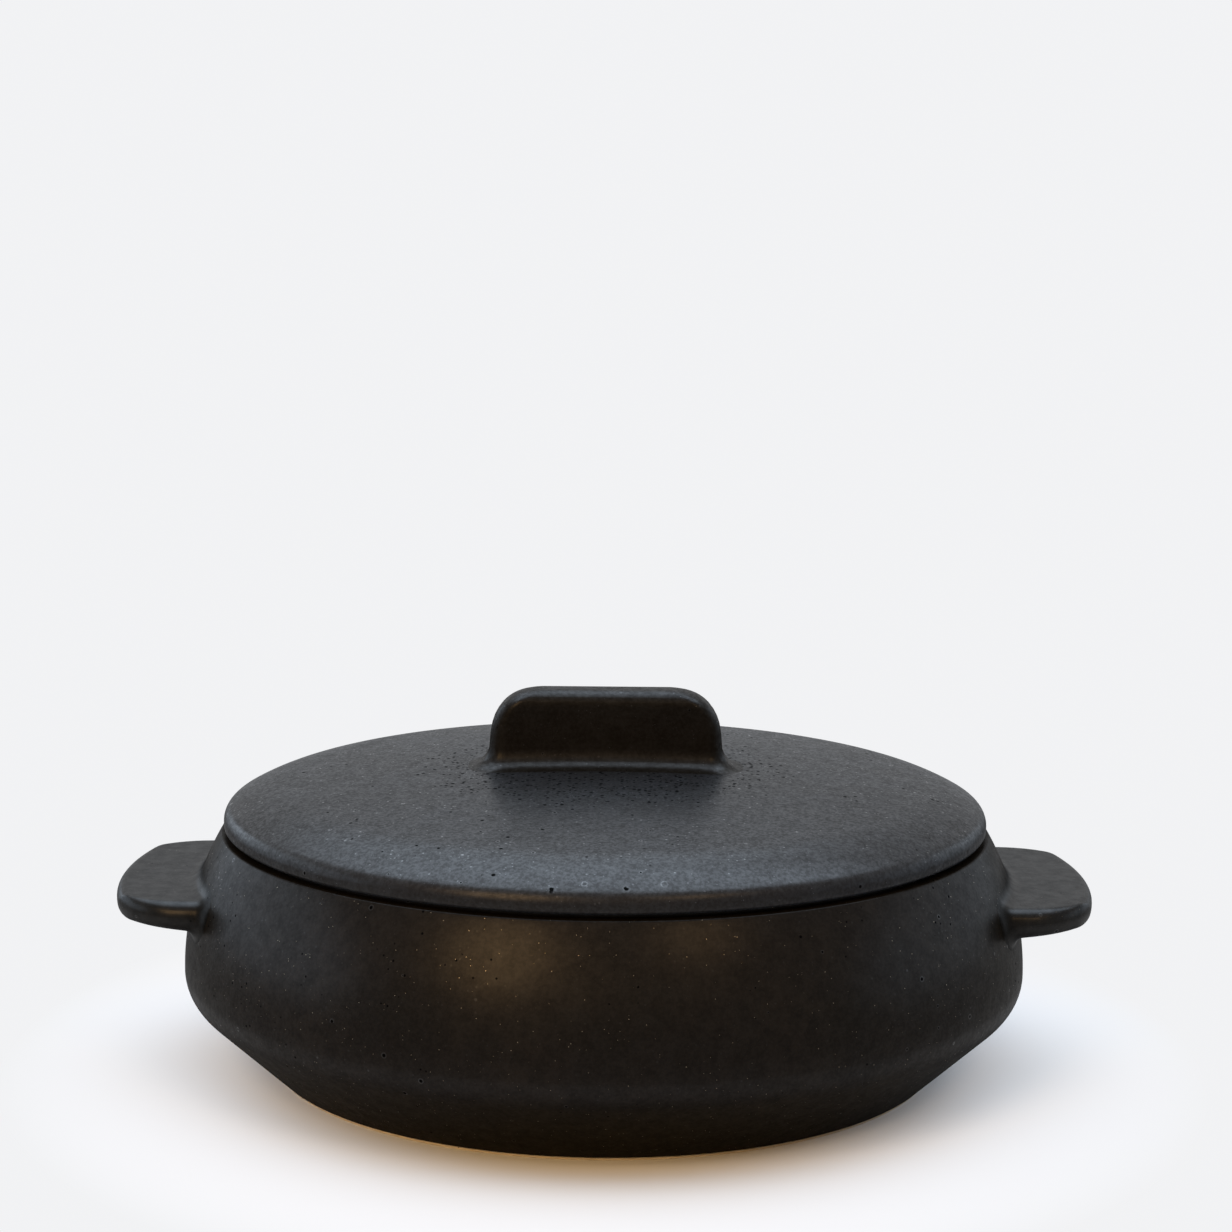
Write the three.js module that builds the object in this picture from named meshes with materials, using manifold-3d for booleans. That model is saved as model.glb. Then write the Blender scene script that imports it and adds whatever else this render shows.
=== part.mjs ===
// Stoneware casserole: a wide bowl on a turned foot ring, two lug handles and a lifting lid with a tab.
// Millimetres, +Z up. The origin is the middle of the foot's sole, and the lugs point along X.

import * as THREE from "three";
import { mergeVertices } from "three/addons/utils/BufferGeometryUtils.js";
import Module from "manifold-3d";

const wasm = await Module();
wasm.setup();

// Bowl, measured on its outside: the rim and the foot lie inside the belly's radius
const BELLY_RADIUS = 130;
const BELLY_HEIGHT = 31;
const BELLY_BEND = 12.5;
const RIM_INSET = 12.6;
const RIM_HEIGHT = 74.5;
const RIM_ROUND = 4;
const RIM_INNER_ROUND = 2;
const WALL = 6.5;
const FLOOR = 7;
const FLOOR_ROUND = 14;

// Foot ring, whose outer face carries on the slope of the bowl's lower wall
const FOOT_INSET = 27.6;
const FOOT_WIDTH = 9;
const FOOT_HEIGHT = 4;
const FOOT_CHAMFER = 1;

// Lug handles
const LUG_WIDTH = 87;
const LUG_REACH = 20.5;
const LUG_TOP = 57.6;
const LUG_ROOT_THICKNESS = 9.5;
const LUG_TIP_THICKNESS = 7;
const LUG_END_RADIUS = 130;
const LUG_CORNER = 16;
const LUG_EDGE = 3;

// Lid cover, measured from the rim that it rests on: the brim is the height of its widest line, and the
// shoulder between the dome and the tight edge ends where it has tilted by so many degrees
const LID_OVERHANG = 0.2;
const LID_BRIM = 2.3;
const LID_DOME_RADIUS = 840;
const LID_SHOULDER_RADIUS = 47.5;
const LID_SHOULDER_TILT = 30;
const LID_EDGE = 5;
const LID_LIP_ROUND = 1.2;
const LID_WALL = 6.5;

// Ring under the lid that centres it in the mouth
const RING_PLAY = 2;
const RING_WALL = 5;
const RING_DEPTH = 9;
const RING_CHAMFER = 1;

// Tab handle on the lid
const TAB_WIDTH = 73;
const TAB_TOP_WIDTH = 69;
const TAB_HEIGHT = 23.3;
const TAB_THICKNESS = 15;
const TAB_CORNER = 13;
const TAB_EDGE = 4.5;
const TAB_FLARE = 6;

// Gap left where a handle is luted to a curved surface
const LUTE_GAP = 0.3;

// How finely round shapes are cut
const ROUND_STEPS = 64;
const SHOULDER_STEPS = 8;
const BEND_STEPS = 4;
const EDGE_STEPS = 3;
const DOME_STEPS = 6;

// Finishes: bronze-black glaze on the pot, bluer where it lies on the lid, and bare clay under the foot
const WALL_GLAZE = { color: 0x26231f, roughness: 0.45, metalness: 0.4 };
const LID_GLAZE = { color: 0x35363a, roughness: 0.4, metalness: 0.4 };
const BARE_CLAY = { color: 0xa5907a, roughness: 0.9, metalness: 0 };

const RIGHT_ANGLE = Math.PI / 2;

function point(radius, height) {
  return new THREE.Vector2(radius, height);
}

function onCircle(centre, radius, angle) {
  return point(centre.x + radius * Math.cos(angle), centre.y + radius * Math.sin(angle));
}

// Points along an arc, both ends included
function arc(centre, radius, from, to, steps) {
  const angles = Array.from({ length: steps + 1 }, (_, i) => THREE.MathUtils.lerp(from, to, i / steps));
  return angles.map((angle) => onCircle(centre, radius, angle));
}

// Turned body: the outline holds radius and height, and runs with the solid on its left
function turned(outline) {
  const geometry = new THREE.LatheGeometry(outline, ROUND_STEPS);
  geometry.rotateX(RIGHT_ANGLE);
  return geometry;
}

function solid(geometry) {
  const bare = geometry.clone();
  bare.deleteAttribute("normal");
  bare.deleteAttribute("uv");
  const merged = mergeVertices(bare);
  const triangles = [];
  for (let i = 0; i < merged.index.count; i += 3) {
    const corners = [0, 1, 2].map((k) => merged.index.getX(i + k));
    if (new Set(corners).size === 3) {
      triangles.push(...corners);
    }
  }
  const mesh = new wasm.Mesh({
    numProp: 3,
    vertProperties: merged.attributes.position.array,
    triVerts: new Uint32Array(triangles),
  });
  return new wasm.Manifold(mesh);
}

function cut(geometry, cutter) {
  const mesh = solid(geometry).subtract(solid(cutter)).getMesh();
  const result = new THREE.BufferGeometry();
  result.setAttribute("position", new THREE.BufferAttribute(mesh.vertProperties, 3));
  result.setIndex(new THREE.BufferAttribute(mesh.triVerts, 1));
  result.computeVertexNormals();
  return result;
}

function piece(name, geometry, finish) {
  const mesh = new THREE.Mesh(geometry, new THREE.MeshStandardMaterial(finish));
  mesh.name = name;
  return mesh;
}

// The wall's outside: a straight slope, tangent to the belly's bend, then the shoulder's arc up to the rim
const rimRadius = BELLY_RADIUS - RIM_INSET;
const footRadius = BELLY_RADIUS - FOOT_INSET;
const bendCentre = point(BELLY_RADIUS - BELLY_BEND, BELLY_HEIGHT);
const footToBend = bendCentre.clone().sub(point(footRadius, 0));
const slope = footToBend.angle() - Math.asin(BELLY_BEND / footToBend.length());
const slopeNormal = slope - RIGHT_ANGLE;
const shoulderRise = RIM_HEIGHT - BELLY_HEIGHT;
const shoulderRadius = (RIM_INSET ** 2 + shoulderRise ** 2) / (2 * RIM_INSET);
const shoulderCentre = point(BELLY_RADIUS - shoulderRadius, BELLY_HEIGHT);

// Radius of the sloping wall at a height, moved out by an offset
function slopeRadius(offset, height) {
  const bendStart = onCircle(bendCentre, BELLY_BEND + offset, slopeNormal);
  return bendStart.x - (bendStart.y - height) / Math.tan(slope);
}

// Angle at which the shoulder's arc, moved out by an offset, reaches a height
function shoulderAngle(offset, height) {
  return Math.asin((height - BELLY_HEIGHT) / (shoulderRadius + offset));
}

// Bend and shoulder, from the end of the slope to an angle of the shoulder's arc
function roundWall(offset, endAngle) {
  return [
    ...arc(bendCentre, BELLY_BEND + offset, slopeNormal, 0, BEND_STEPS),
    ...arc(shoulderCentre, shoulderRadius + offset, 0, endAngle, SHOULDER_STEPS).slice(1),
  ];
}

// One rounded edge of the rim, from the wall up to the flat top: its centre lies on the shoulder's arc
// moved out by an offset, and facing turns the edge towards the outside or the inside of the bowl
function rimEdge(round, offset, facing) {
  const angle = shoulderAngle(offset, RIM_HEIGHT - round);
  const centre = onCircle(shoulderCentre, shoulderRadius + offset, angle);
  return { angle, points: arc(centre, round, angle + facing, RIGHT_ANGLE, EDGE_STEPS) };
}

const outerRim = rimEdge(RIM_ROUND, -RIM_ROUND, 0);
const innerRim = rimEdge(RIM_INNER_ROUND, RIM_INNER_ROUND - WALL, Math.PI);
const mouthRadius = Math.min(...innerRim.points.map((edge) => edge.x));

function bowlGeometry() {
  const floorTop = FOOT_HEIGHT + FLOOR;
  const cornerHeight = floorTop + FLOOR_ROUND;
  const corner = point(slopeRadius(-WALL - FLOOR_ROUND, cornerHeight), cornerHeight);
  return turned([
    point(0, FOOT_HEIGHT),
    point(slopeRadius(0, FOOT_HEIGHT), FOOT_HEIGHT),
    ...roundWall(0, outerRim.angle),
    ...outerRim.points.slice(1),
    ...innerRim.points.toReversed(),
    ...roundWall(-WALL, innerRim.angle).toReversed().slice(1),
    ...arc(corner, FLOOR_ROUND, slopeNormal, -RIGHT_ANGLE, BEND_STEPS),
    point(0, floorTop),
  ]);
}

function footGeometry() {
  const inside = footRadius - FOOT_WIDTH;
  const outline = [
    point(inside, FOOT_CHAMFER),
    point(inside + FOOT_CHAMFER, 0),
    point(footRadius, 0),
    point(slopeRadius(0, FOOT_HEIGHT), FOOT_HEIGHT),
    point(inside, FOOT_HEIGHT),
  ];
  return turned([...outline, outline[0].clone()]);
}

// A lug seen from above: straight sides, round corners and a bowed end, cut off where it meets the wall
function lugGeometry() {
  const tip = BELLY_RADIUS + LUG_REACH;
  const side = LUG_WIDTH / 2;
  const root = Math.sqrt(rimRadius ** 2 - side ** 2) - 2 * LUG_EDGE;
  const endCentre = tip - LUG_END_RADIUS;
  const cornerY = side - LUG_CORNER;
  const cornerX = endCentre + Math.sqrt((LUG_END_RADIUS - LUG_CORNER) ** 2 - cornerY ** 2);
  const endAngle = Math.atan2(cornerY, cornerX - endCentre);
  const outline = new THREE.Shape();
  outline.moveTo(root, -side);
  outline.lineTo(cornerX, -side);
  outline.absarc(cornerX, -cornerY, LUG_CORNER, -RIGHT_ANGLE, -endAngle);
  outline.absarc(endCentre, 0, LUG_END_RADIUS, -endAngle, endAngle);
  outline.absarc(cornerX, cornerY, LUG_CORNER, endAngle, RIGHT_ANGLE);
  outline.lineTo(root, side);
  const blank = new THREE.ExtrudeGeometry(outline, {
    depth: LUG_ROOT_THICKNESS - 2 * LUG_EDGE,
    bevelThickness: LUG_EDGE,
    bevelSize: LUG_EDGE,
    bevelOffset: -LUG_EDGE,
    bevelSegments: EDGE_STEPS,
    curveSegments: BEND_STEPS,
  });
  blank.translate(0, 0, LUG_EDGE - LUG_ROOT_THICKNESS);

  // The underside rises towards the tip, and the top stays level
  const corners = blank.attributes.position;
  for (let i = 0; i < corners.count; i += 1) {
    const share = (corners.getX(i) - rimRadius) / (tip - rimRadius);
    const thickness = THREE.MathUtils.lerp(LUG_ROOT_THICKNESS, LUG_TIP_THICKNESS, share);
    corners.setZ(i, corners.getZ(i) * thickness / LUG_ROOT_THICKNESS);
  }
  blank.translate(0, 0, LUG_TOP);
  const wall = turned([
    point(0, 0),
    point(slopeRadius(LUTE_GAP, 0), 0),
    ...roundWall(LUTE_GAP, outerRim.angle),
    point(0, RIM_HEIGHT),
  ]);
  return cut(blank, wall);
}

// Lid, whose own zero height is its flat underside. Its outside is three arcs, each tangent to the next:
// the edge, the shoulder and the dome, whose centre lies on the lid's axis
const lidRadius = rimRadius + LID_OVERHANG;
const edgeTop = RIGHT_ANGLE - THREE.MathUtils.degToRad(LID_SHOULDER_TILT);
const edgeCentre = point(lidRadius - LID_EDGE, LID_BRIM);
const lidShoulder = onCircle(edgeCentre, LID_EDGE - LID_SHOULDER_RADIUS, edgeTop);
const domeToShoulder = LID_DOME_RADIUS - LID_SHOULDER_RADIUS;
const lidShoulderTop = Math.acos(lidShoulder.x / domeToShoulder);
const domeCentre = point(0, lidShoulder.y - domeToShoulder * Math.sin(lidShoulderTop));
const lidCrown = domeCentre.y + LID_DOME_RADIUS;
const ringOuter = mouthRadius - RING_PLAY;
const ringInner = ringOuter - RING_WALL;

// Angle at which the dome, moved out by an offset, stands over a radius
function domeAngle(offset, radius) {
  return Math.acos(radius / (LID_DOME_RADIUS + offset));
}

function coverGeometry() {
  const lip = point(lidRadius - LID_LIP_ROUND, LID_LIP_ROUND);
  const underside = LID_DOME_RADIUS - LID_WALL;
  return turned([
    ...arc(domeCentre, underside, RIGHT_ANGLE, domeAngle(-LID_WALL, ringInner), DOME_STEPS),
    point(ringInner, 0),
    ...arc(lip, LID_LIP_ROUND, -RIGHT_ANGLE, 0, EDGE_STEPS),
    ...arc(edgeCentre, LID_EDGE, 0, edgeTop, BEND_STEPS),
    ...arc(lidShoulder, LID_SHOULDER_RADIUS, edgeTop, lidShoulderTop, BEND_STEPS).slice(1),
    ...arc(domeCentre, LID_DOME_RADIUS, lidShoulderTop, RIGHT_ANGLE, DOME_STEPS).slice(1),
  ]);
}

function ringGeometry() {
  const outline = [
    point(ringInner, RING_CHAMFER - RING_DEPTH),
    point(ringInner + RING_CHAMFER, -RING_DEPTH),
    point(ringOuter - RING_CHAMFER, -RING_DEPTH),
    point(ringOuter, RING_CHAMFER - RING_DEPTH),
    point(ringOuter, 0),
    point(ringInner, 0),
  ];
  return turned([...outline, outline[0].clone()]);
}

// The tab seen from the front: flared foot, sides that lean in, round top corners
function tabGeometry() {
  const top = lidCrown + TAB_HEIGHT;
  const footSide = TAB_WIDTH / 2;
  const topSide = TAB_TOP_WIDTH / 2;
  const flareSide = footSide + TAB_FLARE;
  const foot = domeCentre.y + Math.sqrt(LID_DOME_RADIUS ** 2 - flareSide ** 2);
  const buried = foot - 2 * TAB_EDGE;
  const outline = new THREE.Shape();
  outline.moveTo(-flareSide, buried);
  outline.lineTo(flareSide, buried);
  outline.lineTo(flareSide, foot);
  outline.absarc(flareSide, foot + TAB_FLARE, TAB_FLARE, -RIGHT_ANGLE, -Math.PI, true);
  outline.absarc(topSide - TAB_CORNER, top - TAB_CORNER, TAB_CORNER, 0, RIGHT_ANGLE);
  outline.absarc(TAB_CORNER - topSide, top - TAB_CORNER, TAB_CORNER, RIGHT_ANGLE, Math.PI);
  outline.absarc(-flareSide, foot + TAB_FLARE, TAB_FLARE, 0, -RIGHT_ANGLE, true);
  const blank = new THREE.ExtrudeGeometry(outline, {
    depth: TAB_THICKNESS - 2 * TAB_EDGE,
    bevelThickness: TAB_EDGE,
    bevelSize: TAB_EDGE,
    bevelOffset: -TAB_EDGE,
    bevelSegments: EDGE_STEPS,
    curveSegments: BEND_STEPS,
  });
  blank.translate(0, 0, TAB_EDGE - TAB_THICKNESS / 2);
  blank.rotateX(RIGHT_ANGLE);
  const dome = turned([
    point(0, domeCentre.y),
    ...arc(domeCentre, LID_DOME_RADIUS + LUTE_GAP, domeAngle(LUTE_GAP, lidRadius), RIGHT_ANGLE, DOME_STEPS),
  ]);
  return cut(blank, dome);
}

const pot = new THREE.Group();
pot.add(piece("bowl", bowlGeometry(), WALL_GLAZE));
pot.add(piece("foot_ring", footGeometry(), BARE_CLAY));
const lug = lugGeometry();
const leftLug = piece("left_lug_handle", lug, WALL_GLAZE);
leftLug.rotation.z = Math.PI;
pot.add(leftLug);
pot.add(piece("right_lug_handle", lug, WALL_GLAZE));

const lid = new THREE.Group();
lid.position.z = RIM_HEIGHT;
lid.add(piece("lid_cover", coverGeometry(), LID_GLAZE));
lid.add(piece("lid_locating_ring", ringGeometry(), LID_GLAZE));
lid.add(piece("lid_tab_handle", tabGeometry(), LID_GLAZE));

const casserole = new THREE.Group();
casserole.add(pot, lid);

export default casserole;
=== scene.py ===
"""Looks of the stoneware casserole: turned bowl, foot and lid, pulled handles, glaze and bare clay."""

import math

import bmesh
import bpy
from mathutils import Matrix, Vector


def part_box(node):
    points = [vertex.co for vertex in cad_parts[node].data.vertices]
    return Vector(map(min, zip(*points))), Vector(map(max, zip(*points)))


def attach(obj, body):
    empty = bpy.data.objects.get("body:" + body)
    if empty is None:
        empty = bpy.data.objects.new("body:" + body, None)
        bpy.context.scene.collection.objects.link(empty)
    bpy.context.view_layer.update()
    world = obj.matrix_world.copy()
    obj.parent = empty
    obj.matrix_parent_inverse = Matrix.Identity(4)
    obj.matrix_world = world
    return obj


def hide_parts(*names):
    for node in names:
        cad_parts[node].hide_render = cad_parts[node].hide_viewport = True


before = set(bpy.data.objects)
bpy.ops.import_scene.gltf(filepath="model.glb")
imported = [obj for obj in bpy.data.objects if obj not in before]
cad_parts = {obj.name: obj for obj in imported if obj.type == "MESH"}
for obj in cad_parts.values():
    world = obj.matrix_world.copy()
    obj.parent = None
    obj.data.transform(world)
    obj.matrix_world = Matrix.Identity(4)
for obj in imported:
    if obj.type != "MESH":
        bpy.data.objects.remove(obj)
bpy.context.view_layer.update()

# Sizes are in millimetres, and MM turns them into the frame's metres
MM = 0.001


def reach(node):
    """Lowest and highest corner of a CAD node, in millimetres."""
    low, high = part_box(node)
    return low / MM, high / MM


# Sizes read from the frame
BELLY_RADIUS = reach("bowl")[1].y
RIM_HEIGHT = reach("bowl")[1].z
FOOT_HEIGHT = reach("foot_ring")[1].z
LUG_TIP = reach("right_lug_handle")[1].x
LUG_TOP = reach("right_lug_handle")[1].z
LUG_WIDTH = 2 * reach("right_lug_handle")[1].y
LID_CROWN = reach("lid_cover")[1].z
RING_OUTER = reach("lid_locating_ring")[1].y
RING_BOTTOM = reach("lid_locating_ring")[0].z
TAB_TOP = reach("lid_tab_handle")[1].z
TAB_THICKNESS = 2 * reach("lid_tab_handle")[1].y

# Bowl and foot, with the ledge that the lid leaves bare and the glaze's lower edge
BELLY_HEIGHT = 31
BELLY_BEND = 12.5
RIM_INSET = 12.6
RIM_INNER_ROUND = 2
LEDGE_DROP = 1.3
LEDGE_DEPTH = 3.2
LEDGE_ROUND = 0.8
SEAT_ROUND = 0.5
WALL = 6.5
FLOOR = 7
FLOOR_ROUND = 14
FOOT_INSET = 27.6
FOOT_WIDTH = 9
FOOT_ROUND = 0.8
FOOT_BEAD = 0.5
GLAZE_LINE = 1.3
GLAZE_SKIN = 0.35

# Lid
LID_OVERHANG = 0.2
LID_BRIM = 2.3
LID_DOME_RADIUS = 840
LID_SHOULDER_RADIUS = 47.5
LID_SHOULDER_TILT = 30
LID_EDGE = 5
LID_LIP_ROUND = 1.2
LID_WALL = 6.5
RING_WALL = 5
RING_ROUND = 1.5

# Handles, whose roots go into what carries them
LUG_ROOT_THICKNESS = 9.5
LUG_TIP_THICKNESS = 7
LUG_CORNER = 16
LUG_EDGE = 3.2
LUG_SIDE_EDGE = 4.2
LUG_FLARE = 3.6
TAB_WIDTH = 73
TAB_TOP_WIDTH = 69
TAB_CORNER = 13
TAB_EDGE = 4.5
TAB_FLARE = 6
ROOT_DEPTH = 2.5

# How finely the meshes are cut
TURN_STEPS = 192
EDGE_STEPS = 9
WIDTH_CUTS = 28
THICKNESS_CUTS = 6
WELD = 1e-6
CREASE = math.radians(38)

# Camera, fitted to the photograph's outline: place in millimetres, angles in degrees, lens in pixels
CAMERA_PLACE = (2.8, -900, 278.7)
CAMERA_PITCH = 8.84
CAMERA_ROLL = 0.49
FOCAL_PIXELS = 2959.5
FRAME_PIXELS = 1232
SENSOR = 36


# Outlines

def on_circle(centre, radius, angle):
    """Point of a circle, at an angle in degrees."""
    turn = math.radians(angle)
    return (centre[0] + radius * math.cos(turn), centre[1] + radius * math.sin(turn))


def arc(centre, radius, start, end, steps):
    """Points along an arc in a number of steps, both ends included, with angles in degrees."""
    return [on_circle(centre, radius, start + (end - start) * i / steps) for i in range(steps + 1)]


bend_centre = (BELLY_RADIUS - BELLY_BEND, BELLY_HEIGHT)
foot_radius = BELLY_RADIUS - FOOT_INSET
bend_run = bend_centre[0] - foot_radius
bend_distance = math.hypot(bend_run, BELLY_HEIGHT)
slope = math.degrees(math.atan2(BELLY_HEIGHT, bend_run) - math.asin(BELLY_BEND / bend_distance))
shoulder_rise = RIM_HEIGHT - BELLY_HEIGHT
shoulder_radius = (RIM_INSET**2 + shoulder_rise**2) / (2 * RIM_INSET)
shoulder_centre = (BELLY_RADIUS - shoulder_radius, BELLY_HEIGHT)
rim_radius = BELLY_RADIUS - RIM_INSET
lid_radius = rim_radius + LID_OVERHANG
dome_centre = (0, LID_CROWN - LID_DOME_RADIUS)


def slope_point(offset, height):
    """Point of the bowl's straight lower wall, moved out by an offset, at a height."""
    start = on_circle(bend_centre, BELLY_BEND + offset, slope - 90)
    return (start[0] - (start[1] - height) / math.tan(math.radians(slope)), height)


def wall_radius(height):
    """Outer radius of the shoulder at a height."""
    return shoulder_centre[0] + math.sqrt(shoulder_radius**2 - (height - BELLY_HEIGHT) ** 2)


def dome_height(radius):
    """Height of the lid's top at a distance from its middle."""
    return dome_centre[1] + math.sqrt(LID_DOME_RADIUS**2 - radius**2)


def rim_edge(rounding, offset, drop=0):
    """Centre of a rounded edge at or below the rim's top, and the angle where it leaves the shoulder."""
    angle = math.degrees(math.asin((shoulder_rise - drop - rounding) / (shoulder_radius + offset)))
    return on_circle(shoulder_centre, shoulder_radius + offset, angle), angle


def bowl_outline():
    """From the middle of the underside, over the rim, to the middle of the floor.

    The glaze runs on over the foot's outer face as a thin skin, and stops in a soft edge above the
    sole. The lid sits on the rim's inner part, and a narrow ledge outside it leaves the dark line under
    the lid's edge."""
    outer_edge, outer_angle = rim_edge(LEDGE_ROUND, -LEDGE_ROUND, LEDGE_DROP)
    seat = (rim_radius - LEDGE_DEPTH - SEAT_ROUND, RIM_HEIGHT - SEAT_ROUND)
    inner_edge, inner_angle = rim_edge(RIM_INNER_ROUND, RIM_INNER_ROUND - WALL)
    floor_top = FOOT_HEIGHT + FLOOR
    corner = slope_point(-WALL - FLOOR_ROUND, floor_top + FLOOR_ROUND)
    lip = slope_point(-GLAZE_SKIN / 2, GLAZE_LINE)
    return [
        (0, FOOT_HEIGHT),
        slope_point(-GLAZE_SKIN, FOOT_HEIGHT),
        *arc(lip, GLAZE_SKIN / 2, slope - 270, slope - 90, 6),
        *arc(bend_centre, BELLY_BEND, slope - 90, 0, 16),
        *arc(shoulder_centre, shoulder_radius, 0, outer_angle, 32)[1:],
        *arc(outer_edge, LEDGE_ROUND, outer_angle, 90, 8)[1:],
        (rim_radius - LEDGE_DEPTH, RIM_HEIGHT - LEDGE_DROP),
        *arc(seat, SEAT_ROUND, 0, 90, 4),
        *arc(inner_edge, RIM_INNER_ROUND, 90, 180 + inner_angle, 10),
        *arc(shoulder_centre, shoulder_radius - WALL, inner_angle, 0, 24)[1:],
        *arc(bend_centre, BELLY_BEND - WALL, 0, slope - 90, 10)[1:],
        *arc(corner, FLOOR_ROUND, slope - 90, -90, 12),
        (0, floor_top),
    ]


def foot_outline():
    """Section of the foot ring, with a rounded inner edge and a bare bead that shows below the glaze."""
    inside = foot_radius - FOOT_WIDTH
    bead = (foot_radius, FOOT_BEAD)
    return [
        (inside, FOOT_HEIGHT),
        *arc((inside + FOOT_ROUND, FOOT_ROUND), FOOT_ROUND, 180, 270, 5),
        *arc(bead, FOOT_BEAD, -90, 90, 8),
        slope_point(-GLAZE_SKIN, GLAZE_LINE + GLAZE_SKIN),
        slope_point(-GLAZE_SKIN, FOOT_HEIGHT),
    ]


def lid_outline():
    """From the middle of the underside, round the lip and up the edge, shoulder and dome, to the crown."""
    lip = (lid_radius - LID_LIP_ROUND, RIM_HEIGHT + LID_LIP_ROUND)
    edge = (lid_radius - LID_EDGE, RIM_HEIGHT + LID_BRIM)
    edge_top = 90 - LID_SHOULDER_TILT
    shoulder = on_circle(edge, LID_EDGE - LID_SHOULDER_RADIUS, edge_top)
    shoulder_top = math.degrees(math.acos(shoulder[0] / (LID_DOME_RADIUS - LID_SHOULDER_RADIUS)))
    under_radius = LID_DOME_RADIUS - LID_WALL
    ring_inner = RING_OUTER - RING_WALL
    ring_angle = math.degrees(math.acos(ring_inner / under_radius))
    return [
        *arc(dome_centre, under_radius, 90, ring_angle, 16),
        (ring_inner, RIM_HEIGHT),
        *arc(lip, LID_LIP_ROUND, -90, 0, 8),
        *arc(edge, LID_EDGE, 0, edge_top, 14),
        *arc(shoulder, LID_SHOULDER_RADIUS, edge_top, shoulder_top, 14)[1:],
        *arc(dome_centre, LID_DOME_RADIUS, shoulder_top, 90, 24)[1:],
    ]


def ring_outline():
    """Section of the locating ring under the lid."""
    inside = RING_OUTER - RING_WALL
    low = RING_BOTTOM + RING_ROUND
    return [
        (inside, RIM_HEIGHT),
        *arc((inside + RING_ROUND, low), RING_ROUND, 180, 270, 6),
        *arc((RING_OUTER - RING_ROUND, low), RING_ROUND, 270, 360, 6),
        (RING_OUTER, RIM_HEIGHT),
    ]


# Meshes

def into_scene(name, data):
    """A new object of the scene that shows a mesh, lamp or camera."""
    holder = bpy.data.objects.new(name, data)
    bpy.context.scene.collection.objects.link(holder)
    return holder


def finished(name, bm, material):
    """Turns a bmesh in millimetres into a piece in the frame."""
    bmesh.ops.remove_doubles(bm, verts=bm.verts, dist=WELD / MM)
    bmesh.ops.recalc_face_normals(bm, faces=bm.faces)
    bmesh.ops.scale(bm, vec=(MM, MM, MM), verts=bm.verts)
    mesh = bpy.data.meshes.new(name)
    bm.to_mesh(mesh)
    bm.free()
    mesh.shade_smooth()
    mesh.set_sharp_from_angle(angle=CREASE)
    mesh.materials.append(material)
    return into_scene(name, mesh)


def turned(name, outline, material, closed=False):
    """A piece turned on the wheel: its outline, spun about the upright axis."""
    bm = bmesh.new()
    points = [bm.verts.new((radius, 0, height)) for radius, height in outline]
    ends = points[1:] + points[:1] if closed else points[1:]
    edges = [bm.edges.new(pair) for pair in zip(points, ends)]
    bmesh.ops.spin(
        bm,
        geom=points + edges,
        cent=(0, 0, 0),
        axis=(0, 0, 1),
        angle=math.tau,
        steps=TURN_STEPS,
        use_merge=True,
    )
    return finished(name, bm, material)


def turned_in(level, start, radius):
    """How far a quarter circle, which leaves the upright at a start level, has turned in at a level."""
    rise = min(max(level - start, 0), radius)
    return radius - math.sqrt(radius**2 - rise**2)


def slab_ring(bm, half_width, top, bottom, corner, level):
    """One closed ring of a handle: a rectangle with round corners, across X and Y."""
    corner = min(corner, (top - bottom) / 2)
    right, left = half_width - corner, corner - half_width
    back, front = top - corner, bottom + corner
    outline = [
        *arc((right, back), corner, 0, 90, EDGE_STEPS),
        *arc((left, back), corner, 90, 180, EDGE_STEPS),
        *arc((left, front), corner, 180, 270, EDGE_STEPS),
        *arc((right, front), corner, 270, 360, EDGE_STEPS),
    ]
    points = [bm.verts.new((x, y, level)) for x, y in outline]
    return [bm.edges.new(pair) for pair in zip(points, points[1:] + points[:1])]


def slice_across(bm, axis, cuts):
    """Cuts a mesh evenly along an axis, so that it can be bent."""
    low = min(vert.co[axis] for vert in bm.verts)
    high = max(vert.co[axis] for vert in bm.verts)
    normal = Vector((axis == 0, axis == 1, axis == 2))
    for i in range(1, cuts):
        place = normal * (low + (high - low) * i / cuts)
        everything = bm.verts[:] + bm.edges[:] + bm.faces[:]
        bmesh.ops.bisect_plane(bm, geom=everything, dist=WELD / MM, plane_co=place, plane_no=normal)


def pulled_slab(width, tip_width, thickness, tip_thickness, height, corner, edge, side_edge, flare):
    """A handle in its own place: width along X, one face at Y = 0, growing along Z from a flared root.

    Its tip has round corners. Edge softens the tip's edges, and side_edge the long ones. The root runs out
    flat at Z = 0 and goes on below."""
    turns = [math.sin(math.pi / 2 * i / EDGE_STEPS) for i in range(EDGE_STEPS + 1)]
    levels = {flare * (1 - turn) for turn in turns}
    levels |= {height - size * (1 - turn) for size in (corner, edge) for turn in turns}
    bm = bmesh.new()
    rings = []
    for level in (-ROOT_DEPTH, *sorted(levels)):
        share = level / height
        spread = turned_in(flare - level, 0, flare)
        soft = turned_in(level, height - edge, edge)
        half_width = (width + (tip_width - width) * share) / 2
        half_width += spread - turned_in(level, height - corner, corner)
        bottom = -thickness - (tip_thickness - thickness) * share
        top, bottom = spread - soft, bottom - spread + soft
        rings.append(slab_ring(bm, half_width, top, bottom, side_edge + spread, level))
    for lower, upper in zip(rings, rings[1:]):
        bmesh.ops.bridge_loops(bm, edges=lower + upper)
    bmesh.ops.holes_fill(bm, edges=rings[0] + rings[-1])
    slice_across(bm, 0, WIDTH_CUTS)
    slice_across(bm, 1, THICKNESS_CUTS)
    return bm


def smooth_step(value):
    """Nought to one, with a soft start and end."""
    value = min(max(value, 0), 1)
    return value * value * (3 - 2 * value)


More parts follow.
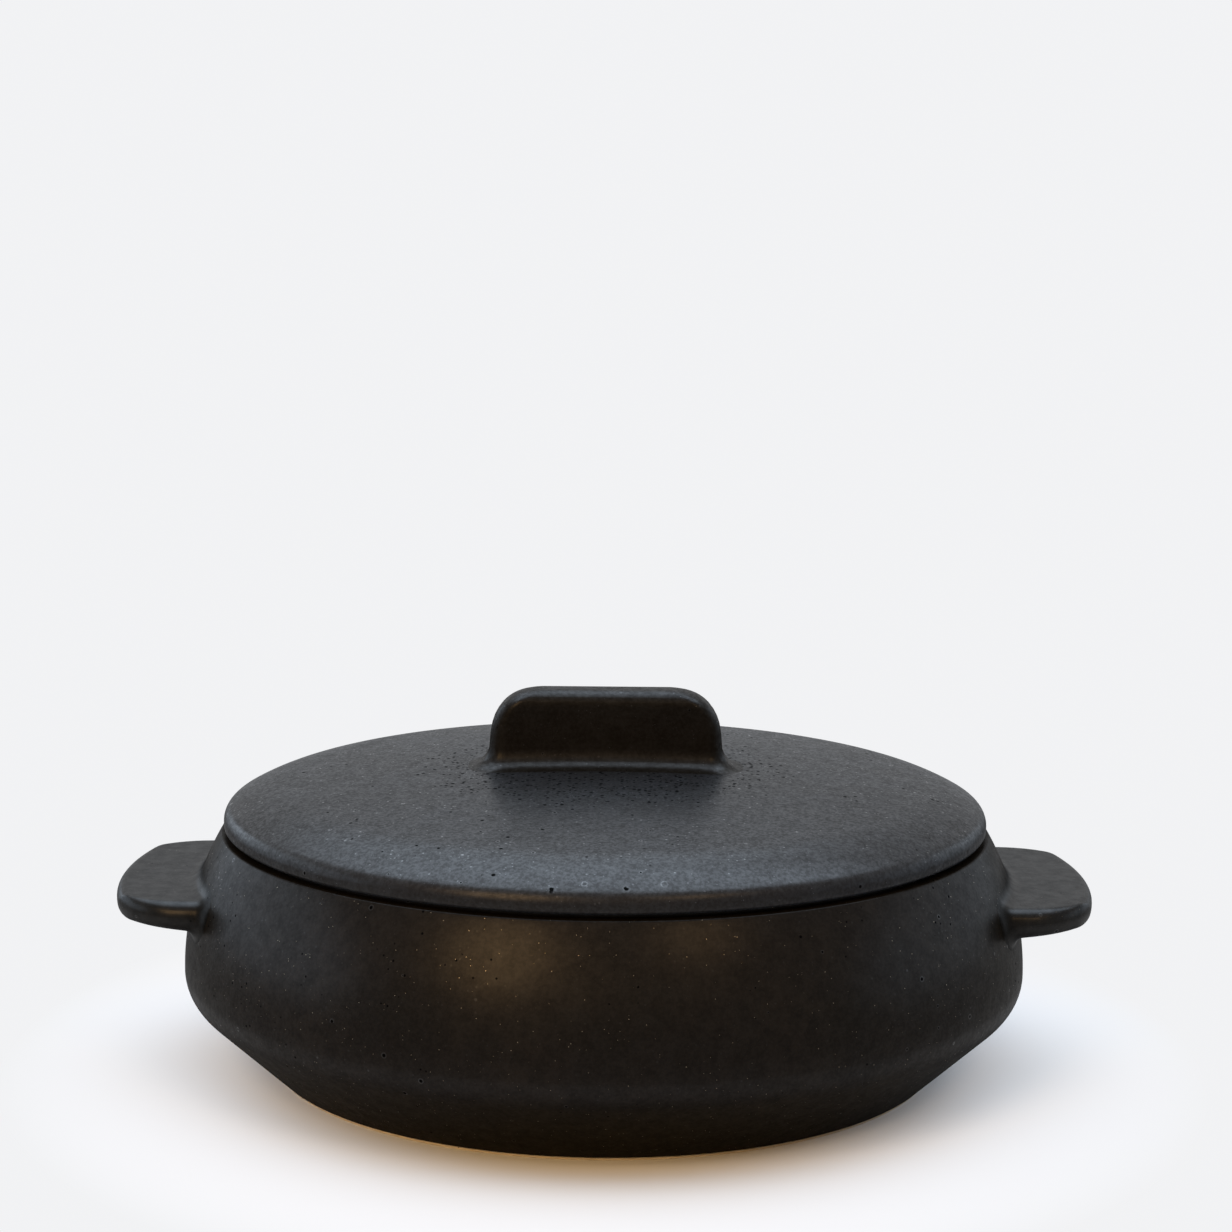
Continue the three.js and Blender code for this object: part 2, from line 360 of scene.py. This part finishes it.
def lug(name, side, material):
    """A lug, wrapped round the bowl's shoulder at +X or -X."""
    middle = wall_radius(LUG_TOP - LUG_ROOT_THICKNESS / 2)
    out = LUG_TIP - middle
    bm = pulled_slab(
        width=LUG_WIDTH,
        tip_width=LUG_WIDTH,
        thickness=LUG_ROOT_THICKNESS,
        tip_thickness=LUG_TIP_THICKNESS,
        height=out,
        corner=LUG_CORNER,
        edge=LUG_EDGE,
        side_edge=LUG_SIDE_EDGE,
        flare=LUG_FLARE,
    )
    for vert in bm.verts:
        across, down, outwards = vert.co
        height = LUG_TOP + down
        free = smooth_step(outwards / out)
        radius = wall_radius(height) * (1 - free) + middle * free
        forward = outwards + math.sqrt(radius**2 - across**2)
        vert.co = (side * forward, side * across, height)
    return finished(name, bm, material)


def tab(name, material):
    """The upright tab, seated on the lid's dome."""
    height = TAB_TOP - LID_CROWN
    bm = pulled_slab(
        width=TAB_WIDTH,
        tip_width=TAB_TOP_WIDTH,
        thickness=TAB_THICKNESS,
        tip_thickness=TAB_THICKNESS,
        height=height,
        corner=TAB_CORNER,
        edge=TAB_EDGE,
        side_edge=TAB_EDGE,
        flare=TAB_FLARE,
    )
    for vert in bm.verts:
        across, back, up = vert.co
        back += TAB_THICKNESS / 2
        free = smooth_step(up / height)
        drop = LID_CROWN - dome_height(math.hypot(across, back))
        vert.co = (across, back, LID_CROWN + up - drop * (1 - free))
    return finished(name, bm, material)


# Shader helpers

def add(tree, kind, inputs=None, **settings):
    """Adds a node, with its settings, and its inputs set or linked by name or number."""
    new = tree.nodes.new(kind)
    for name, value in settings.items():
        setattr(new, name, value)
    for name, value in (inputs or {}).items():
        if isinstance(value, bpy.types.NodeSocket):
            tree.links.new(value, new.inputs[name])
        else:
            new.inputs[name].default_value = value
    return new


def blend(tree, share, first, second):
    """Mixes two colours."""
    mixed = add(tree, "ShaderNodeMix", {0: share, 6: first, 7: second}, data_type="RGBA")
    return mixed.outputs[2]


def sums(tree, operation, *given):
    """Arithmetic with values."""
    return add(tree, "ShaderNodeMath", dict(enumerate(given)), operation=operation).outputs[0]


def times(tree, first, second):
    """Product of two values."""
    return sums(tree, "MULTIPLY", first, second)


def most(tree, first, second):
    """Larger one of two values."""
    return sums(tree, "MAXIMUM", first, second)


def vary(tree, value, mask, amount, base=1.0):
    """A value, times base plus an amount of a mask."""
    return times(tree, value, sums(tree, "MULTIPLY_ADD", mask, amount, base))


def vectors(tree, operation, *given):
    """Arithmetic with vectors, which gives a value for a length or a distance and otherwise a vector."""
    made = add(tree, "ShaderNodeVectorMath", dict(enumerate(given)), operation=operation)
    return made.outputs["Value" if operation in ("LENGTH", "DISTANCE") else "Vector"]


def ramp(tree, value, low, high, to_low=0.0, to_high=1.0):
    """Turns a value between two limits smoothly into another range."""
    mapped = add(
        tree,
        "ShaderNodeMapRange",
        {"Value": value, "From Min": low, "From Max": high, "To Min": to_low, "To Max": to_high},
        interpolation_type="SMOOTHSTEP",
    )
    return mapped.outputs[0]


def fade(tree, value, low, high, full=1.0):
    """The opposite of ramp: full up to the lower limit, and nought from the higher one."""
    return ramp(tree, value, low, high, full, 0.0)


def noise(tree, place, size, detail=2.0, roughness=0.5):
    """Cloudy noise whose largest patches are about size millimetres."""
    made = add(
        tree,
        "ShaderNodeTexNoise",
        {"Vector": place, "Scale": 1 / (size * MM), "Detail": detail, "Roughness": roughness},
    )
    return made.outputs["Fac"]


def group(name, inputs, outputs):
    """An empty shader group with named sockets; returns the tree and its two ends."""
    tree = bpy.data.node_groups.new(name, "ShaderNodeTree")
    for socket, kind, value in inputs:
        made = tree.interface.new_socket(socket, in_out="INPUT", socket_type=f"NodeSocket{kind}")
        if value is not None:
            made.default_value = value
    for socket, kind in outputs:
        tree.interface.new_socket(socket, in_out="OUTPUT", socket_type=f"NodeSocket{kind}")
    return tree, tree.nodes.new("NodeGroupInput").outputs, tree.nodes.new("NodeGroupOutput").inputs


def placed(tree, made_group, inputs):
    """Places a group in a material and gives its outputs."""
    return add(tree, "ShaderNodeGroup", inputs, node_tree=made_group).outputs


def material(name):
    """An empty material and its tree."""
    made = bpy.data.materials.new(name)
    made.use_nodes = True
    made.node_tree.nodes.clear()
    return made, made.node_tree


def surface(tree, inputs):
    """The material's Principled shader, joined to its output."""
    shader = add(tree, "ShaderNodeBsdfPrincipled", inputs)
    add(tree, "ShaderNodeOutputMaterial", {"Surface": shader.outputs[0]})


# Effects that the glazes share

# Keeps a place's X and Y, and drops its height
ACROSS = (1, 1, 0)

# Spots: patches that they gather in, in millimetres, and soft limits of their sizes, discs and rings
PATCH_SIZE = 26
PATCH_EDGE = (0.52, 0.72)
SPOT_SIZES = (0.5, 1.2)
SPOT_EDGE = (0.55, 1.0)
SPOT_RING_INSIDE = (0.7, 1.0)
SPOT_RING_OUTSIDE = (1.1, 1.5)

# Skin: sizes in millimetres, soft limits and heights of its clouds, mottle, grain and swell
CLOUD_SIZE = 30
CLOUD_EDGE = (0.32, 0.68)
MOTTLE_SIZE = 4.5
MOTTLE_EDGE = (0.3, 0.7)
MOTTLE_HEIGHT = 0.12
GRAIN_SIZE = 1.1
GRAIN_EDGE = (0.36, 0.64)
SWELL_SIZE = 45
SWELL_HEIGHT = 1.6


def scatter_group():
    """Small spots, one in some of the cells, thicker where the cluster noise is high."""
    tree, given, result = group(
        "scattered spots",
        [
            ("Place", "Vector", None),
            ("Cell", "Float", 1.0),
            ("Share", "Float", 0.1),
            ("Size", "Float", 0.2),
            ("Clusters", "Float", 1.0),
        ],
        [("Spots", "Float"), ("Rings", "Float")],
    )
    scale = sums(tree, "DIVIDE", 1 / MM, given["Cell"])
    made = add(tree, "ShaderNodeTexVoronoi", {"Vector": given["Place"], "Scale": scale})
    chance = add(tree, "ShaderNodeSeparateColor", {"Color": made.outputs["Color"]}).outputs
    patches = ramp(tree, noise(tree, given["Place"], PATCH_SIZE), *PATCH_EDGE)
    local = sums(tree, "MULTIPLY_ADD", sums(tree, "SUBTRACT", patches, 1.0), given["Clusters"], 1.0)
    chosen = sums(tree, "LESS_THAN", chance["Red"], times(tree, given["Share"], local))
    size = times(tree, given["Size"], ramp(tree, chance["Green"], 0, 1, *SPOT_SIZES))
    near = sums(tree, "DIVIDE", made.outputs["Distance"], size)
    spot = fade(tree, near, *SPOT_EDGE)
    ring = times(tree, ramp(tree, near, *SPOT_RING_INSIDE), fade(tree, near, *SPOT_RING_OUTSIDE))
    tree.links.new(times(tree, spot, chosen), result["Spots"])
    tree.links.new(times(tree, ring, chosen), result["Rings"])
    return tree


def skin_group():
    """The glaze's own skin: slow clouds, a fine mottle, grain, and the height of its orange peel."""
    tree, given, result = group(
        "glaze skin",
        [("Place", "Vector", None), ("Grit", "Float", 0.1)],
        [("Clouds", "Float"), ("Mottle", "Float"), ("Grain", "Float"), ("Height", "Float")],
    )
    place = given["Place"]
    clouds = noise(tree, place, CLOUD_SIZE, detail=3, roughness=0.55)
    mottle = noise(tree, place, MOTTLE_SIZE, detail=3, roughness=0.6)
    grain = noise(tree, place, GRAIN_SIZE, detail=2, roughness=0.7)
    swell = noise(tree, place, SWELL_SIZE, detail=1)
    height = sums(tree, "MULTIPLY_ADD", mottle, MOTTLE_HEIGHT, times(tree, grain, given["Grit"]))
    height = sums(tree, "MULTIPLY_ADD", swell, SWELL_HEIGHT, height)
    tree.links.new(ramp(tree, clouds, *CLOUD_EDGE), result["Clouds"])
    tree.links.new(ramp(tree, mottle, *MOTTLE_EDGE), result["Mottle"])
    tree.links.new(ramp(tree, grain, *GRAIN_EDGE), result["Grain"])
    tree.links.new(height, result["Height"])
    return tree


SCATTER = scatter_group()
SKIN = skin_group()

# What is scattered in the glazes and in the clay
BUBBLES = {"Cell": 5.0, "Share": 0.3, "Size": 0.11, "Clusters": 0.6}
FLAKES = {"Cell": 0.6, "Size": 0.2, "Clusters": 0.5}
FLECKS = {"Cell": 1.15, "Share": 0.3, "Size": 0.3, "Clusters": 0.7}
GROG = {"Cell": 1.4, "Share": 0.25, "Size": 0.22, "Clusters": 0.3}
PIN_CELL = 1.6
PIN_CLUSTERS = 0.97

# Distances from the pot's axis, in millimetres: where pinholes stop crowding and where a lug's root ends
CROWD_NEAR = 46
CROWD_FAR = 66
ROOT_NEAR = 128
ROOT_FAR = 135

# Burst bubbles at the lid's front edge: place and radius in millimetres, strength of pit and bright rim
LID_SCARS = (
    (-14.0, -114.6, 1.25, 1.0, 0.2),
    (-5.2, -113.0, 1.0, 0.3, 0.75),
    (6.3, -114.6, 1.15, 1.0, 0.2),
    (16.6, -112.0, 1.1, 0.0, 0.6),
)

# Their wobbly outline, in millimetres, and the soft limits of pit and rim, in radii
SCAR_UNEVEN = 1.4
SCAR_WOBBLE = 1.2
SCAR_PIT_EDGE = (0.4, 0.65)
SCAR_RIM_INSIDE = (0.5, 0.75)
SCAR_RIM_OUTSIDE = (0.9, 1.15)

# Gloss: its blur, how bend, mottle, pale marks and holes change it, and the slopes of bend and underside
GLOSS_BLUR = 0.32
BEND_GLOSS = 0.62
BEND_TOP = (-0.12, 0.1)
BEND_LOW = (-0.66, -0.2)
UNDERSIDE = (-0.72, -0.3)
MOTTLE_GLOSS = 0.24
MARK_GLOSS = 1.5
HOLE_GLOSS = -0.95

# Ground, with a near-black painted shade for the inside of pinholes and pits, and relief: GLAZE_RELIEF is
# in millimetres, and the other heights are multiples of it
HOLE_SHADE = (0.001, 0.001, 0.001, 1)
GRAIN_BLOOM = 0.35
FLAKE_METAL = 0.9
GROUND_ROUGHNESS = 0.3
HOLE_HEIGHT = -2.5
BUBBLE_RIM_HEIGHT = 0.6
GLAZE_RELIEF = 0.06


def scar_marks(tree, place, scars):
    """Pits and bright rims of single burst bubbles.

    Each is given by its place and radius in millimetres, and by the strength of its pit and of its rim."""
    uneven = add(tree, "ShaderNodeTexNoise", {"Vector": place, "Scale": 1 / (SCAR_UNEVEN * MM)})
    wobbly = vectors(tree, "MULTIPLY_ADD", uneven.outputs["Color"], (SCAR_WOBBLE * MM,) * 3, place)
    flat = vectors(tree, "MULTIPLY", wobbly, ACROSS)
    pits, rims = 0.0, 0.0
    for x, y, radius, depth, glint in scars:
        centre = ((x + SCAR_WOBBLE / 2) * MM, (y + SCAR_WOBBLE / 2) * MM, 0)
        near = sums(tree, "DIVIDE", vectors(tree, "DISTANCE", flat, centre), radius * MM)
        rim = times(tree, ramp(tree, near, *SCAR_RIM_INSIDE), fade(tree, near, *SCAR_RIM_OUTSIDE, glint))
        pits = most(tree, fade(tree, near, *SCAR_PIT_EDGE, depth), pits)
        rims = most(tree, rim, rims)
    return pits, rims


def glaze(
    name,
    dark,
    bloom,
    speck,
    speck_share,
    bloom_share,
    grit,
    gloss,
    lie,
    fleck,
    pin,
    crowd=(0.3, 0.3),
    scars=(),
    root=None,
):
    """A satin bronze-black glaze: dark ground, cloudy bloom, metal specks, pale flecks, and holes painted
    near-black with shade.

    Its gloss has three shares: where the glaze lay level, where it stood upright, and where it hung under.
    Lie is the range of slopes between upright and level. Fleck is the strength of the pale flecks, pin the
    size of the pinholes, and crowd their share in the middle of the piece and outside it. Scars are single
    burst bubbles, and root is the gloss of upright parts close to the bowl's wall."""
    made, tree = material(name)
    given = add(tree, "ShaderNodeTexCoord").outputs
    place = given["Object"]
    up = add(tree, "ShaderNodeSeparateXYZ", {0: given["Normal"]}).outputs["Z"]
    away = vectors(tree, "LENGTH", vectors(tree, "MULTIPLY", place, ACROSS))
    level, upright, under = gloss
    inner, outer = crowd
    near, far = CROWD_NEAR * MM, CROWD_FAR * MM
    share = ramp(tree, away, near, far, inner, outer)
    gather = ramp(tree, away, near, far, PIN_CLUSTERS - (inner - outer), PIN_CLUSTERS)

    skin = placed(tree, SKIN, {"Place": place, "Grit": grit})
    pin_inputs = {"Place": place, "Cell": PIN_CELL, "Share": share, "Size": pin, "Clusters": gather}
    pins = placed(tree, SCATTER, pin_inputs)
    bubbles = placed(tree, SCATTER, {"Place": place, **BUBBLES})
    flakes = placed(tree, SCATTER, {"Place": place, "Share": speck_share, **FLAKES})
    flecks = placed(tree, SCATTER, {"Place": place, **FLECKS})
    pits, rims = scar_marks(tree, place, scars) if scars else (0.0, 0.0)
    holes = most(tree, most(tree, pins["Spots"], bubbles["Spots"]), pits)
    rims = most(tree, bubbles["Rings"], rims)

    cover = times(tree, times(tree, skin["Clouds"], skin["Mottle"]), bloom_share)
    colour = blend(tree, cover, dark, bloom)
    colour = blend(tree, times(tree, skin["Grain"], GRAIN_BLOOM), colour, bloom)
    colour = blend(tree, flakes["Spots"], colour, speck)
    # Painted shade: pinholes, bubbles and pits turn near-black
    colour = blend(tree, holes, colour, HOLE_SHADE)

    bend = times(tree, fade(tree, up, *BEND_TOP), ramp(tree, up, *BEND_LOW))
    stood = upright if root is None else ramp(tree, away, ROOT_NEAR * MM, ROOT_FAR * MM, root, upright)
    shine = ramp(tree, up, *lie, stood, level)
    shine = times(tree, shine, ramp(tree, up, *UNDERSIDE, under / upright, 1.0))
    shine = vary(tree, shine, bend, BEND_GLOSS)
    shine = vary(tree, shine, skin["Mottle"], MOTTLE_GLOSS, 1 - MOTTLE_GLOSS / 2)
    shine = vary(tree, shine, skin["Grain"], grit, 1 - grit / 2)
    shine = vary(tree, shine, most(tree, times(tree, flecks["Spots"], fleck), rims), MARK_GLOSS)
    shine = vary(tree, shine, holes, HOLE_GLOSS)

    relief = sums(tree, "MULTIPLY_ADD", holes, HOLE_HEIGHT, skin["Height"])
    relief = sums(tree, "MULTIPLY_ADD", rims, BUBBLE_RIM_HEIGHT, relief)
    bump = add(tree, "ShaderNodeBump", {"Height": relief, "Strength": 1.0, "Distance": GLAZE_RELIEF * MM})
    surface(
        tree,
        {
            "Base Color": colour,
            "Roughness": GROUND_ROUGHNESS,
            "Metallic": times(tree, flakes["Spots"], FLAKE_METAL),
            "Specular IOR Level": 0.0,
            "Coat Weight": shine,
            "Coat Roughness": GLOSS_BLUR,
            "Normal": bump.outputs[0],
        },
    )
    return made


# Bare clay
CLAY = (0.55, 0.47, 0.34, 1)
CLAY_PALE = (0.66, 0.58, 0.44, 1)
CLAY_TOASTED = (0.46, 0.37, 0.25, 1)
GROG_COLOUR = (0.12, 0.08, 0.05, 1)
TOASTED_SHARE = 0.4
CLAY_GRAIN = 0.6
CLAY_RELIEF = 0.15
CLAY_ROUGHNESS = 0.9


def bare_clay(name):
    """Unglazed fired clay: tan, grainy, with darker grog."""
    made, tree = material(name)
    place = add(tree, "ShaderNodeTexCoord").outputs["Object"]
    skin = placed(tree, SKIN, {"Place": place})
    grog = placed(tree, SCATTER, {"Place": place, **GROG})
    colour = blend(tree, skin["Mottle"], CLAY, CLAY_PALE)
    colour = blend(tree, times(tree, skin["Clouds"], TOASTED_SHARE), colour, CLAY_TOASTED)
    colour = blend(tree, grog["Spots"], colour, GROG_COLOUR)
    height = sums(tree, "MULTIPLY_ADD", skin["Grain"], CLAY_GRAIN, skin["Height"])
    bump = add(tree, "ShaderNodeBump", {"Height": height, "Strength": 1.0, "Distance": CLAY_RELIEF * MM})
    surface(tree, {"Base Color": colour, "Roughness": CLAY_ROUGHNESS, "Normal": bump.outputs[0]})
    return made


wall_glaze = glaze(
    "wall_glaze",
    dark=(0.003, 0.0021, 0.0011, 1),
    bloom=(0.0062, 0.0042, 0.0021, 1),
    speck=(0.19, 0.16, 0.115, 1),
    speck_share=0.09,
    bloom_share=0.8,
    grit=0.22,
    gloss=(0.135, 0.154, 0.115),
    lie=(0.5, 0.95),
    fleck=0.4,
    pin=0.26,
)
# The wall's glaze again, with a darker ground and more gloss, most on the level tops: painted sheen on the
# lugs, which have the wall's glaze
lug_glaze_painted_sheen = glaze(
    "lug_glaze_painted_sheen",
    dark=(0.002, 0.0018, 0.0014, 1),
    bloom=(0.005, 0.0042, 0.003, 1),
    speck=(0.055, 0.041, 0.023, 1),
    speck_share=0.06,
    bloom_share=0.8,
    grit=0.1,
    gloss=(0.37, 0.22, 0.16),
    lie=(0.5, 0.95),
    fleck=0.15,
    pin=0.17,
    root=0.125,
)
lid_glaze = glaze(
    "lid_glaze",
    dark=(0.008, 0.008, 0.0083, 1),
    bloom=(0.011, 0.012, 0.014, 1),
    speck=(0.06, 0.064, 0.07, 1),
    speck_share=0.1,
    bloom_share=0.9,
    grit=0.5,
    gloss=(0.395, 0.155, 0.17),
    lie=(0.25, 0.9),
    fleck=1.0,
    pin=0.42,
    crowd=(0.8, 0.08),
    scars=LID_SCARS,
)
# The lid's glaze again, with a darker ground and less gloss: painted shade on the tab, which has the lid's
# glaze
tab_glaze_painted_shade = glaze(
    "tab_glaze_painted_shade",
    dark=(0.004, 0.0031, 0.002, 1),
    bloom=(0.008, 0.007, 0.0055, 1),
    speck=(0.06, 0.06, 0.06, 1),
    speck_share=0.1,
    bloom_share=0.6,
    grit=0.4,
    gloss=(0.29, 0.075, 0.075),
    lie=(0.15, 0.85),
    fleck=0.8,
    pin=0.2,
)
foot_clay = bare_clay("bare_clay")


# Pieces: each stands for its CAD node and rides on that node's body

pieces = (
    (turned("bowl_body", bowl_outline(), wall_glaze), "bowl", "pot", "wall_glaze"),
    (turned("foot", foot_outline(), foot_clay, closed=True), "foot_ring", "pot", "bare_clay"),
    (lug("left_lug", -1, lug_glaze_painted_sheen), "left_lug_handle", "pot", "wall_glaze"),
    (lug("right_lug", 1, lug_glaze_painted_sheen), "right_lug_handle", "pot", "wall_glaze"),
    (turned("lid_dome", lid_outline(), lid_glaze), "lid_cover", "lid", "lid_glaze"),
    (turned("lid_ring", ring_outline(), lid_glaze, closed=True), "lid_locating_ring", "lid", "lid_glaze"),
    (tab("lid_tab", tab_glaze_painted_shade), "lid_tab_handle", "lid", "lid_glaze"),
)
for piece, node, body, slot in pieces:
    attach(piece, body)
    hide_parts(node)


# Studio

PALE = (0.885, 0.89, 0.905, 1)
FILL = (1.78, 2.06, 2.4, 1)
DIM = (0.06, 0.045, 0.03, 1)
SKY_LEAN = 1.2
SKY_EDGE = (0.25, 0.8)
WARM = (1.0, 0.62, 0.28)
COOL = (0.7, 0.84, 1.0)

# Floor: its colours, and in metres where it runs into the background and where it is behind the pot
FLOOR_COLOUR = (0.71, 0.725, 0.75, 1)
FLOOR_BEHIND = (0.71, 0.64, 0.58, 1)
FLOOR_SIZE = 8.0
FLOOR_CELLS = 8
FLOOR_NEAR = 0.105
FLOOR_FAR = 0.205
FLOOR_SIDEWAYS = (1.1, 1, 1)
BEHIND_NEAR = 0.03
BEHIND_FAR = 0.13


def seen(tree):
    """One where the eye looks, directly or by way of a reflection or glass, and nought for other light."""
    path = add(tree, "ShaderNodeLightPath").outputs
    direct = most(tree, path["Is Camera Ray"], path["Is Glossy Ray"])
    return most(tree, direct, path["Is Transmission Ray"])


def studio_floor():
    """A wide pale floor that keeps the pot's shadow and runs into the background further away.

    It is warmer behind the pot, where only the cool fill lights it, so that it looks neutral all round."""
    made, tree = material("floor")
    place = vectors(tree, "MULTIPLY", add(tree, "ShaderNodeTexCoord").outputs["Object"], FLOOR_SIDEWAYS)
    away = vectors(tree, "LENGTH", place)
    far = add(tree, "ShaderNodeMapRange", {"Value": away, "From Min": FLOOR_NEAR, "From Max": FLOOR_FAR})
    far = times(tree, far.outputs[0], seen(tree))
    behind = add(tree, "ShaderNodeSeparateXYZ", {0: place}).outputs["Y"]
    colour = blend(tree, ramp(tree, behind, BEHIND_NEAR, BEHIND_FAR), FLOOR_COLOUR, FLOOR_BEHIND)
    lit = add(tree, "ShaderNodeBsdfDiffuse", {"Color": colour})
    plain = add(tree, "ShaderNodeEmission", {"Color": PALE, "Strength": 1.0})
    both = add(tree, "ShaderNodeMixShader", {0: far, 1: lit.outputs[0], 2: plain.outputs[0]})
    add(tree, "ShaderNodeOutputMaterial", {"Surface": both.outputs[0]})
    bm = bmesh.new()
    bmesh.ops.create_grid(bm, x_segments=FLOOR_CELLS, y_segments=FLOOR_CELLS, size=FLOOR_SIZE)
    mesh = bpy.data.meshes.new("floor")
    bm.to_mesh(mesh)
    bm.free()
    mesh.materials.append(made)
    into_scene("floor", mesh)


def studio_world():
    """A pale background for the eye and for reflections, and a fill light from above and behind."""
    world = bpy.data.worlds.new("studio")
    world.use_nodes = True
    tree = world.node_tree
    tree.nodes.clear()
    way = add(tree, "ShaderNodeTexCoord").outputs["Generated"]
    way = add(tree, "ShaderNodeSeparateXYZ", {0: way}).outputs
    open_sky = sums(tree, "MULTIPLY_ADD", way["Z"], SKY_LEAN, way["Y"])
    fill = blend(tree, ramp(tree, open_sky, *SKY_EDGE), DIM, FILL)
    colour = blend(tree, seen(tree), fill, PALE)
    background = add(tree, "ShaderNodeBackground", {"Color": colour, "Strength": 1.0})
    add(tree, "ShaderNodeOutputWorld", {"Surface": background.outputs[0]})
    bpy.context.scene.world = world


def softbox(name, azimuth, elevation, distance, size, radiance, colour, card=False):
    """A flat oval lamp aimed at the pot, or a bright card that only its gloss shows.

    Azimuth 0 is in front of the pot, and grows towards +X. Angles are in degrees, and the distance and the
    size, width and height, in metres."""
    turn, lift = math.radians(azimuth), math.radians(elevation)
    away = Vector((math.sin(turn) * math.cos(lift), -math.cos(turn) * math.cos(lift), math.sin(lift)))
    lamp = bpy.data.lights.new(name, "AREA")
    lamp.shape = "ELLIPSE"
    lamp.size, lamp.size_y = size
    lamp.energy = radiance * math.pi * (math.pi / 4 * lamp.size * lamp.size_y)
    lamp.color = colour
    holder = into_scene(name, lamp)
    aim = away.to_track_quat("Z", "Y").to_matrix().to_4x4()
    holder.matrix_world = Matrix.Translation(away * distance) @ aim
    holder.visible_camera = False
    holder.visible_diffuse = not card


def camera():
    """The photograph's camera."""
    eye = bpy.data.cameras.new("camera")
    eye.sensor_fit = "HORIZONTAL"
    eye.sensor_width = SENSOR
    eye.lens = FOCAL_PIXELS / FRAME_PIXELS * SENSOR
    holder = into_scene("camera", eye)
    pitch = Matrix.Rotation(math.radians(90 - CAMERA_PITCH), 4, "X")
    roll = Matrix.Rotation(math.radians(CAMERA_ROLL), 4, "Z")
    holder.matrix_world = Matrix.Translation(Vector(CAMERA_PLACE) * MM) @ pitch @ roll
    bpy.context.scene.camera = holder


studio_floor()
studio_world()
softbox("left_lamp", -29, 31, 1.2, (0.47, 0.6), 12.0, WARM)
softbox("right_lamp", 28, 39, 1.2, (0.34, 0.36), 7.6, WARM)
softbox("ceiling_card", 180, 79, 1.5, (2.6, 1.25), 5.0, COOL, card=True)
softbox("back_card", 195, 47, 1.5, (1.4, 0.6), 2.3, COOL, card=True)
softbox("front_card", 0, 24, 1.4, (1.3, 0.8), 0.5, WARM, card=True)
softbox("left_card", -108, 12, 1.4, (2.3, 0.9), 3.2, COOL, card=True)
softbox("right_card", 108, 12, 1.4, (2.1, 0.9), 1.7, COOL, card=True)
camera()
bpy.context.scene.view_settings.view_transform = "Standard"
